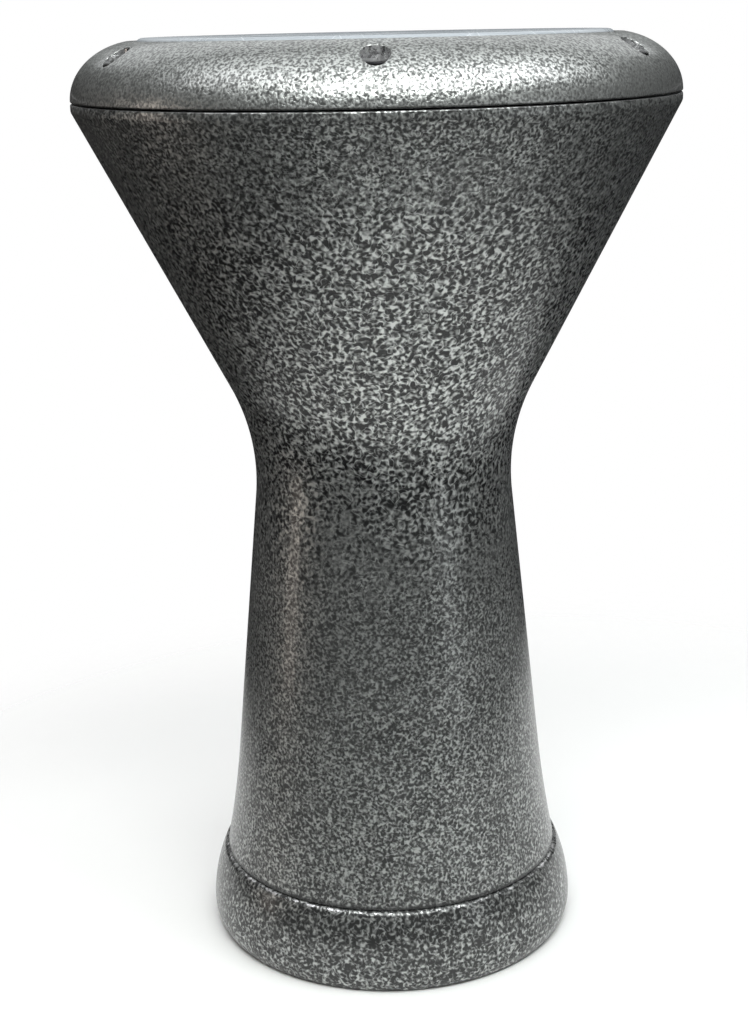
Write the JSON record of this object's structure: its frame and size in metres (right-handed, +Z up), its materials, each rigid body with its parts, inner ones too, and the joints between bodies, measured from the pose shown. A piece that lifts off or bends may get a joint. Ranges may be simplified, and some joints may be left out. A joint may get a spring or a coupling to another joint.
{
  "type": "darbuka",
  "caption": "Cast aluminium goblet drum with a vein-painted flared bowl, waisted tube and foot ring; a bolted clamp ring pulls down and tunes a film head.",
  "frame": {"origin": "centre of the foot ring's bottom face, on the surface the drum stands on", "axes": "+Z up along the drum's axis from foot to head; -Y towards the front tuning bolt"},
  "size_m": [0.28, 0.28, 0.442],
  "materials": {
    "vein_paint": "gloss",
    "milky_film": "satin",
    "hoop_aluminium": "satin",
    "potting_resin": "matte",
    "bolt_steel": "satin",
    "washer_steel": "satin"
  },
  "bodies": {
    "drum": {"shell": "vein_paint", "foot_ring": "vein_paint", "head_film": "milky_film", "head_hoop": "hoop_aluminium", "hoop_resin": "potting_resin"},
    "ring": {"clamp_ring": "vein_paint", "bolt_washer_1": "washer_steel", "bolt_washer_2": "washer_steel", "bolt_washer_3": "washer_steel", "bolt_washer_4": "washer_steel", "bolt_washer_5": "washer_steel", "bolt_washer_6": "washer_steel"},
    "bolt_1": {"tuning_bolt_1": "bolt_steel"},
    "bolt_2": {"tuning_bolt_2": "bolt_steel"},
    "bolt_3": {"tuning_bolt_3": "bolt_steel"},
    "bolt_4": {"tuning_bolt_4": "bolt_steel"},
    "bolt_5": {"tuning_bolt_5": "bolt_steel"},
    "bolt_6": {"tuning_bolt_6": "bolt_steel"}
  },
  "joints": [
    {"name": "ring_lift", "type": "slide", "parent": "drum", "child": "ring", "axis": [0, 0, 1], "range_m": [0, 0.01]},
    {"name": "bolt_turn_1", "type": "hinge", "parent": "ring", "child": "bolt_1", "pos_m": [0, -0.127, 0.426], "axis": [0, 0, 1], "range_deg": [0, 3600]},
    {"name": "bolt_turn_2", "type": "hinge", "parent": "ring", "child": "bolt_2", "pos_m": [0.10999, -0.0635, 0.426], "axis": [0, 0, 1], "range_deg": [0, 3600]},
    {"name": "bolt_turn_3", "type": "hinge", "parent": "ring", "child": "bolt_3", "pos_m": [0.10999, 0.0635, 0.426], "axis": [0, 0, 1], "range_deg": [0, 3600]},
    {"name": "bolt_turn_4", "type": "hinge", "parent": "ring", "child": "bolt_4", "pos_m": [0, 0.127, 0.426], "axis": [0, 0, 1], "range_deg": [0, 3600]},
    {"name": "bolt_turn_5", "type": "hinge", "parent": "ring", "child": "bolt_5", "pos_m": [-0.10999, 0.0635, 0.426], "axis": [0, 0, 1], "range_deg": [0, 3600]},
    {"name": "bolt_turn_6", "type": "hinge", "parent": "ring", "child": "bolt_6", "pos_m": [-0.10999, -0.0635, 0.426], "axis": [0, 0, 1], "range_deg": [0, 3600]}
  ],
  "couplings": [
    {"joint": "bolt_turn_1", "follows": "ring_lift", "rad_per_m": 6283.2},
    {"joint": "bolt_turn_2", "follows": "ring_lift", "rad_per_m": 6283.2},
    {"joint": "bolt_turn_3", "follows": "ring_lift", "rad_per_m": 6283.2},
    {"joint": "bolt_turn_4", "follows": "ring_lift", "rad_per_m": 6283.2},
    {"joint": "bolt_turn_5", "follows": "ring_lift", "rad_per_m": 6283.2},
    {"joint": "bolt_turn_6", "follows": "ring_lift", "rad_per_m": 6283.2}
  ]
}
